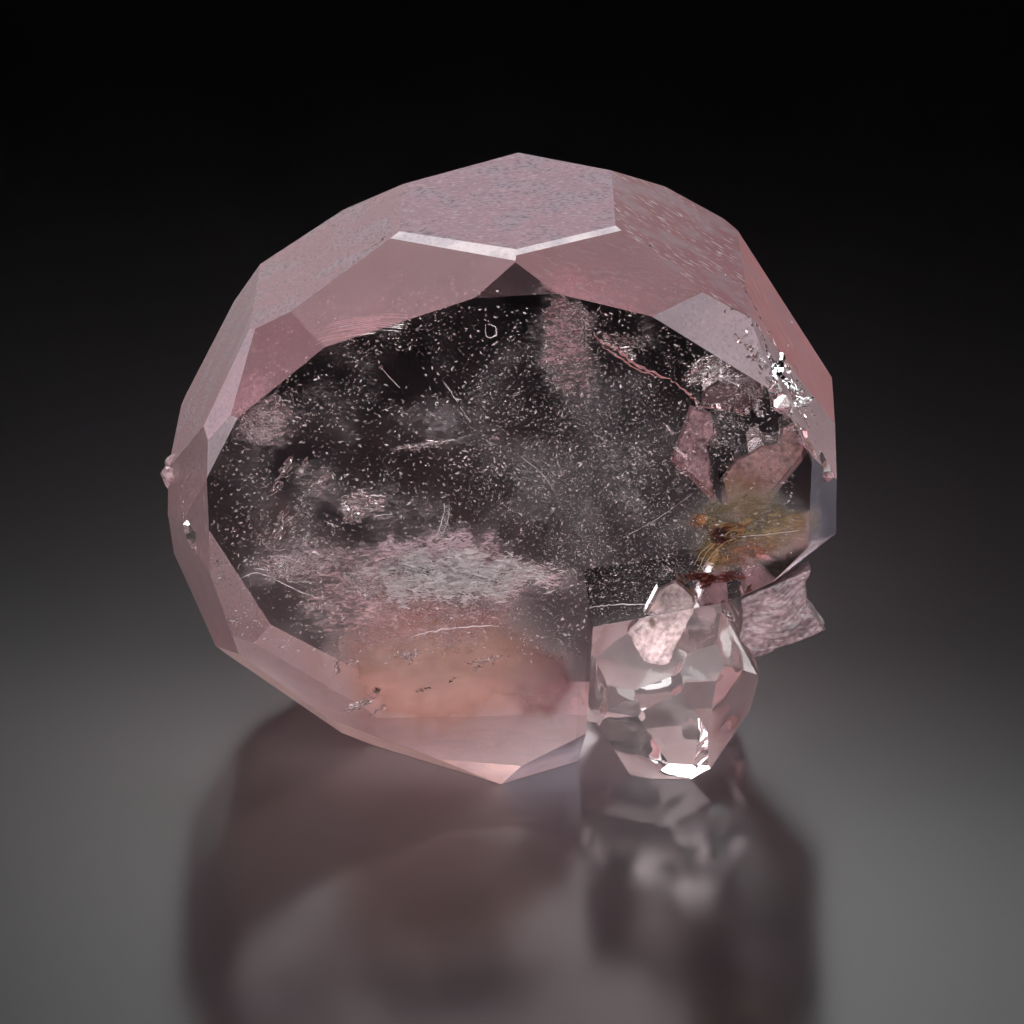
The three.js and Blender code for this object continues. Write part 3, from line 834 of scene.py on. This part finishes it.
def hazeAt(kind, spot):
    # how dense the haze is at a place, in mm from the crystal's middle, and its colour
    (bend, far), (soon, steep) = hazeShape["swirl"], hazeShape["falling"]
    fold, least, more = hazeShape["thinning"]
    ragged = Vector((noise.noise(spot / bend), 0, noise.noise(spot / bend + Vector((7, 7, 7))))) * far
    base = kind["base"] * (least + more * noise.noise(spot / fold))
    parts = [(base, Vector(fromHex(hazeShape["tone"])[:3]))]
    for x, z, wide, tall, turn, strength, tone in kind["clouds"]:
        away = Matrix.Rotation(math.radians(turn), 3, "Y") @ (spot + ragged - Vector((x, spot.y, z)))
        fade = math.exp(-soon * ((away.x / wide) ** 2 + (away.z / tall) ** 2) ** steep)
        lumpy = 1 + kind["lumps"] * noise.noise(spot / hazeShape["lump"])
        parts.append((strength * fade * lumpy, Vector(fromHex(tone)[:3])))
    total = sum(max(part, 0) for part, _ in parts) + 1e-6
    mixed = sum((tone * max(part, 0) / total for part, tone in parts), Vector((0, 0, 0)))
    place, (start, over) = (middle + spot) * mm, hazeShape["surface"]
    under = (berylTree.find_nearest(place)[0] - place).length / mm
    dense = min(total - hazeShape["least"], hazeShape["most"]) * min(max((under - start) / over, 0), 1)
    return max(dense, 0), (*mixed, 1)


def makeHaze(name, kind):
    cell = kind["cell"]
    (left, right), (low, high) = kind["across"], kind["up"]
    fold, height, crease, share = hazeShape["folds"]
    columns, rows = round((right - left) / cell), round((high - low) / cell)
    points, inside = [], []
    for row in range(rows + 1):
        for column in range(columns + 1):
            spot = Vector((left + column * cell, kind["depth"], low + row * cell))
            spot.y += kind["wave"] * (noise.noise(spot / fold) + share * noise.noise(spot / crease)) * height
            points.append(middle + spot)
            inside.append(isInside(middle + spot, hazeShape["margin"]))
    faces, dense = [], [hazeAt(kind, point - middle)[0] > 0 for point in points]
    for row in range(rows):
        for column in range(columns):
            first = row * (columns + 1) + column
            corners = (first, first + 1, first + columns + 2, first + columns + 1)
            if all(inside[corner] for corner in corners) and any(dense[corner] for corner in corners):
                faces.append(corners)
    piece = meshPiece(name, points, faces)
    makeActive(piece)
    bpy.ops.object.mode_set(mode="EDIT")
    bpy.ops.mesh.select_all(action="SELECT")
    bpy.ops.mesh.delete_loose()
    bpy.ops.object.mode_set(mode="OBJECT")
    solid = piece.modifiers.new("thickness", "SOLIDIFY")
    solid.thickness = hazeShape["thickness"] * mm
    applyModifiers(piece)
    piece.data.attributes.new("haze", "FLOAT", "POINT")
    piece.data.attributes.new("tone", "FLOAT_COLOR", "POINT")
    thick, tones = piece.data.attributes["haze"], piece.data.attributes["tone"]
    for vertex in piece.data.vertices:
        cover, tone = hazeAt(kind, vertex.co / mm - middle)
        thick.data[vertex.index].value = cover
        tones.data[vertex.index].color = tone
    for face in piece.data.polygons:
        face.use_smooth = True
    finishPiece(piece, hazeFinish(name, kind["grain"], kind["streaks"]))
    print(name, "made,", len(piece.data.polygons), "faces")


for name, kind in hazes.items():
    makeHaze(name, kind)
for name, kind in stainedHazes.items():
    makeHaze(name, kind)

# Cracks filled with air: a middle in mm from the crystal's middle, half its length and half its width in mm,
# and its turn in the front view in degrees.
films = {
    "seed": 31,
    "rings": 4,
    "spokes": 18,
    "crumple": (1.7, 0.22),  # how fine, and how high for its size
    "drawnOut": 1.6,  # in width, because it is seen aslant
    "thickness": 0.03,  # mm
    "tilt": (-0.95, 0.25),  # radians back from the front view, and by how much that varies
    "heading": 0.4,  # radians, by how much it varies
    "rim": (0.65, 1.0),  # how far the ragged rim reaches
    "places": [
        ((-1.5, -13, 8.6), 0.35, 0.3, 0), ((-11.5, -13, 15.2), 0.22, 0.18, 0),
        ((17.4, -13.2, 14.9), 1.8, 0.8, -8), ((19.2, -13.4, 14.2), 1.4, 0.6, 20),
        ((23.4, -13.2, 14.7), 1.2, 1.3, -50), ((22.2, -13.4, 15.6), 1.3, 0.7, -45),
        ((24.6, -13.0, 12.9), 1.4, 0.5, -40), ((25.6, -12.8, 11.4), 1.3, 0.5, -10),
        ((20.6, -13.4, 17.2), 1.4, 0.6, -50), ((19.8, -12.8, 12.2), 1.2, 0.5, 60),
        ((21.6, -12.6, 11.0), 1.0, 0.4, -60), ((-13.4, -14, 3.4), 0.9, 0.35, 10),
        ((-12.6, -14, 2.9), 1.3, 0.2, 4), ((-14.6, -14, 2.4), 0.5, 0.5, 60),
        ((-14.3, -13.8, 1.7), 1.6, 0.8, -8), ((-16.8, -14, 4.8), 1.1, 0.3, 5),
        ((-19.2, -14, 2.1), 0.3, 0.2, 0), ((-17.5, -13.5, -7.5), 1.7, 0.3, 3),
        ((-9.7, -13, -12.3), 0.9, 0.4, 8), ((-8.9, -13, -12.5), 1.2, 0.2, 20),
        ((-2.9, -13, -13.4), 1.1, 0.3, 12), ((-1.6, -13, -12.9), 0.9, 0.2, 35),
        ((-15.8, -13, -13.6), 0.7, 0.5, 60), ((-14.4, -13, -13.0), 0.8, 0.3, 5),
        ((-13.9, -12, -17.5), 1.5, 0.4, 30), ((-12.2, -11.5, -18.3), 1.2, 0.3, 25),
        ((-20.0, -14, 6.2), 1.6, 0.35, 35), ((-18.6, -14, 6.0), 1.4, 0.3, 45),
        ((-23.2, -14, 10.3), 0.7, 0.9, 60), ((-22.6, -14, 9.0), 0.9, 0.3, -20),
        ((-18.3, -13.6, -1.0), 0.9, 0.4, 70), ((-17.0, -13.5, -2.6), 1.0, 0.4, -30),
        ((-20.6, -13.5, -3.6), 1.0, 0.35, 30), ((-19.4, -13.6, 0.4), 0.8, 0.25, 80),
        ((-22.4, -13.4, -0.9), 0.7, 0.4, 50), ((-10.6, -13, -6.1), 1.0, 0.25, -25),
        ((-8.2, -13.5, -3.7), 0.5, 0.4, 0), ((1.4, -13, -5.4), 0.4, 0.3, 0),
        ((19.4, -15.4, -8.2), 0.5, 0.7, 70), ((13.9, -12.6, -4.2), 0.5, 0.15, -20),
        ((0.2, -13, 12.6), 0.8, 0.15, -5), ((4.6, -13.5, 13.4), 0.9, 0.2, -15),
        ((10.2, -13, 16.4), 0.9, 0.3, -35), ((8.2, -13, 18.0), 0.5, 0.4, 0),
    ],
}


def filmFinish():
    # Air in a crack of the beryl, a silver mirror where it is seen aslant. Its IOR is air's over beryl's.
    material, tree = newMaterial("air film in beryl")
    shader = addNode(tree, "BsdfPrincipled", {
        "Base Color": fromHex("ffffff"), "Roughness": 0.12, "IOR": 0.633, "Transmission Weight": 1.0})
    addNode(tree, "OutputMaterial", {"Surface": shader.outputs[0]})
    return material


makeFlakes("silver splinters", splinters, filmFinish())


def makeFilms():
    dice = random.Random(films["seed"])
    rings, spokes, (fine, high) = films["rings"], films["spokes"], films["crumple"]
    points, faces = [], []
    for spot, long, wide, roll in films["places"]:
        turn = Matrix.Rotation(math.radians(-roll), 3, "Y")
        turn = turn @ Matrix.Rotation(dice.gauss(*films["tilt"]), 3, "X")
        turn = turn @ Matrix.Rotation(dice.gauss(0, films["heading"]), 3, "Z")
        first = len(points)
        rim = [dice.uniform(*films["rim"]) for _ in range(spokes)]
        for side in (-1, 1):
            points.append(middle + Vector(spot) + Vector((0, side * films["thickness"] / 2, 0)))
            for ring in range(1, rings if side > 0 else rings + 1):
                for spoke in range(spokes):
                    angle, share = 6.2832 * spoke / spokes, ring / rings
                    flat = Vector((math.cos(angle) * long, 0, math.sin(angle) * wide * films["drawnOut"]))
                    flat = flat * share * rim[spoke]
                    crumple = noise.noise((Vector(spot) + flat) * fine / wide ** 0.5) * high * (long + wide)
                    flat.y = crumple + side * films["thickness"] / 2 * (1 - share)
                    points.append(middle + Vector(spot) + turn @ flat)
        back = first + 1 + rings * spokes
        for spoke in range(spokes):
            after = (spoke + 1) % spokes
            faces.append((first, first + 1 + after, first + 1 + spoke))
            faces.append((back, back + 1 + spoke, back + 1 + after))
            for ring in range(rings - 1):
                a, b = first + 1 + ring * spokes + spoke, first + 1 + ring * spokes + after
                faces.append((a, b, b + spokes, a + spokes))
                c, d = back + 1 + ring * spokes + spoke, back + 1 + ring * spokes + after
                e, f = c + spokes, d + spokes
                if ring == rings - 2:
                    e, f = a + spokes, b + spokes
                faces.append((c, e, f, d))
    piece = meshPiece("air_cracks", points, faces)
    tidyNormals(piece)
    finishPiece(piece, filmFinish())
    print("air cracks made,", len(films["places"]))


def tidyNormals(piece):
    shell = bmesh.new()
    shell.from_mesh(piece.data)
    bmesh.ops.recalc_face_normals(shell, faces=shell.faces)
    shell.to_mesh(piece.data)
    shell.free()


makeFilms()

feather = {
    "path": [(-16.2, -14.6, 19.1), (-15.4, -14.5, 19.4), (-13.2, -14.9, 19.95), (-11.0, -15.3, 20.4),
             (-8.9, -16.2, 20.6)],  # mm from the crystal's middle
    "lines": 34,
    "down": (-0.04, -0.066, -0.046),  # mm, a step down along the face above it
    "steps": 26,
    "under": 0.1,  # mm
    "wander": 0.1,  # mm
    "radius": (0.01, 0.03),  # mm
}


def barb(number):
    # a line of the feather, with dice of its own: a part of the path, moved down by some steps
    dice = random.Random(number)
    low = dice.uniform(0, feather["steps"])
    across, front, down = feather["down"]
    path = feather["path"][dice.choice((0, 1, 2)):dice.choice((4, 5))]
    line = [(x + across * low + dice.gauss(0, feather["wander"]), y + front * low - feather["under"],
             z + down * low)
            for x, y, z in path]
    return line, dice.uniform(*feather["radius"])


strandShape = {
    "seed": 41,
    "steps": 8,  # from stop to stop
    "thickness": (0.5, 1.3),  # of the radius
    "taper": 0.7,
    "wander": 0.6,  # of the radius
}
# Fibres, hair cracks and the like: [points in mm from the crystal's middle], radius in mm.
strands = {
    "feather": ("fff4f4", [barb(number) for number in range(feather["lines"])]),
    "hair_cracks": ("fdf6f8", [
        ([(-11.5, -13, 15.2), (-9.9, -13, 13.3)], 0.03), ([(-6.1, -13, 14.0), (-4.8, -13, 11.9)], 0.035),
        ([(-4.6, -13, 11.5), (-3.8, -13, 10.2)], 0.035),
        ([(-9.9, -13.5, 7.7), (-7.8, -13.5, 8.1), (-5, -13.5, 8.5)], 0.07),
        ([(-9.1, -13, -10.6), (-7.4, -13, -10.1), (-5.0, -13, -9.7), (-1.2, -13, -9.5)], 0.07),
        ([(-24.4, -13, -4.9), (-22.9, -13, -4.3), (-21.1, -13, -5), (-18.8, -13, -6.2), (-16.8, -13, -6.9)],
         0.05),
        ([(-13.2, -14, 3.3), (-11.2, -14, 3.3)], 0.06), ([(-12.2, -14, 1.4), (-10.6, -14, 1.6)], 0.04),
        ([(-2.4, -13, 19.2), (-2.2, -13, 18.0), (-1.4, -13, 18.2), (-1.5, -13, 19.0), (-2.2, -13, 19.2)],
         0.06),
        ([(20.0, -15.2, -0.4), (22.4, -15.2, -0.2), (25.5, -15.2, 0.2)], 0.03),
        ([(6.9, -13.6, -7.6), (9.0, -13.8, -7.3), (12.6, -14, -7.2)], 0.06),
        ([(-6.0, -13, 2.4), (-6.2, -13.1, 1.0), (-6.8, -13.1, -1.2)], 0.05),
        ([(-5.6, -13, 2.2), (-5.7, -13.1, 0.8), (-6.3, -13.1, -0.8)], 0.04),
        ([(9.5, -13, -1.2), (13.0, -13, 0.9), (16.0, -13, 3.2)], 0.025),
        ([(4.0, -13, 3.0), (2.6, -13, 5.2), (0.6, -13, 6.9)], 0.025)]),
    "pink_crack": ("c08c8c", [
        ([(7.1, -13, 18.1), (8.9, -13.2, 17.0), (10.5, -13.4, 15.7), (12.2, -13.4, 14.8),
          (14.2, -13.4, 13.9)], 0.16),
        ([(7.8, -13.1, 17.2), (9.5, -13.2, 16.0), (11.2, -13.4, 14.9), (13.2, -13.4, 14.3)], 0.1),
        ([(14.2, -13.4, 13.9), (15.6, -13.4, 12.6), (16.4, -13.4, 12.0)], 0.1)]),
    "golden_fibres": ("cfae80", [
        ([(16.5, -12.8, -4.4), (17.3, -12.8, -2.6), (18.6, -12.7, -1.2), (19.6, -12.6, -0.3)], 0.05),
        ([(16.9, -12.8, -4.2), (17.8, -12.8, -2.7), (18.9, -12.7, -1.6), (19.9, -12.6, -1.2)], 0.04),
        ([(16.2, -12.8, -3.8), (17.0, -12.8, -2.3), (18.2, -12.7, -1.4)], 0.035),
        ([(19.8, -12.4, -0.6), (21.0, -12.2, 0.4), (22.2, -12.2, 1.6), (22.8, -12.2, 2.6)], 0.045),
        ([(20.4, -12.4, -1.0), (22.0, -12.2, -0.6), (23.6, -12.2, 0.4), (25.2, -12.2, 1.0)], 0.05),
        ([(20.0, -12.4, -1.4), (22.4, -12.2, -1.6), (24.4, -12.2, -1.2), (26.0, -12.2, -1.4)], 0.045),
        ([(20.8, -12.4, 0.2), (21.8, -12.2, -0.4), (21.6, -12.2, -1.2), (20.4, -12.3, -1.3)], 0.05),
        ([(21.4, -12.4, 1.0), (22.8, -12.2, 0.2), (22.8, -12.2, -0.9), (21.4, -12.3, -1.6)], 0.045),
        ([(13.6, -14, -6.6), (14.6, -14, -8.0)], 0.04), ([(14.4, -14, -6.2), (15.4, -14, -8.2)], 0.04),
        ([(15.0, -14, -6.0), (15.6, -14, -7.8)], 0.035)]),
}


def strandFinish(name, tone):
    # A crack's bright edge or a mineral fibre: glossy, pale, a hair's width across.
    return dustFinish(name.replace("_", " "), tone, 0.2, 1.6)


def makeStrands(name, tone, lines):
    dice = random.Random(strandShape["seed"])
    steps, taper = strandShape["steps"], strandShape["taper"]
    points, faces = [], []
    for line, radius in lines:
        stops = [Vector(stop) for stop in line]
        path = []
        for i in range(len(stops) - 1):
            before, after = stops[max(i - 1, 0)], stops[min(i + 2, len(stops) - 1)]
            start, end = stops[i], stops[i + 1]
            for t in (step / steps for step in range(steps)):  # a smooth curve through the stops
                path.append(0.5 * (2 * start + (end - before) * t
                                   + (2 * before - 5 * start + 4 * end - after) * t ** 2
                                   + (3 * start - before - 3 * end + after) * t ** 3))
        path.append(stops[-1])
        for i, spot in enumerate(path):
            ahead = (path[min(i + 1, len(path) - 1)] - path[max(i - 1, 0)]).normalized()
            side = ahead.cross(Vector((0, 1, 0))).normalized()
            narrowed = 1 - taper * abs(2 * i / len(path) - 1) ** 3
            thick = radius * dice.uniform(*strandShape["thickness"]) * narrowed
            spot = middle + spot + side * dice.gauss(0, radius * strandShape["wander"])
            for angle in (0, 2.094, 4.189):
                points.append(spot + thick * (math.cos(angle) * side + math.sin(angle) * Vector((0, 1, 0))))
        first, last = len(points) - 3 * len(path), len(points) - 3
        for i in range(first, last, 3):
            for a, b in ((0, 1), (1, 2), (2, 0)):
                faces.append((i + a, i + b, i + 3 + b, i + 3 + a))
        faces += [(first, first + 2, first + 1), (last, last + 1, last + 2)]
    piece = meshPiece(name, points, faces)
    tidyNormals(piece)
    shadeFaces(piece, [1.0] * len(faces))
    finishPiece(piece, strandFinish(name, tone))
    print(name, "made,", len(lines))


for name, (tone, lines) in strands.items():
    makeStrands(name, tone, lines)
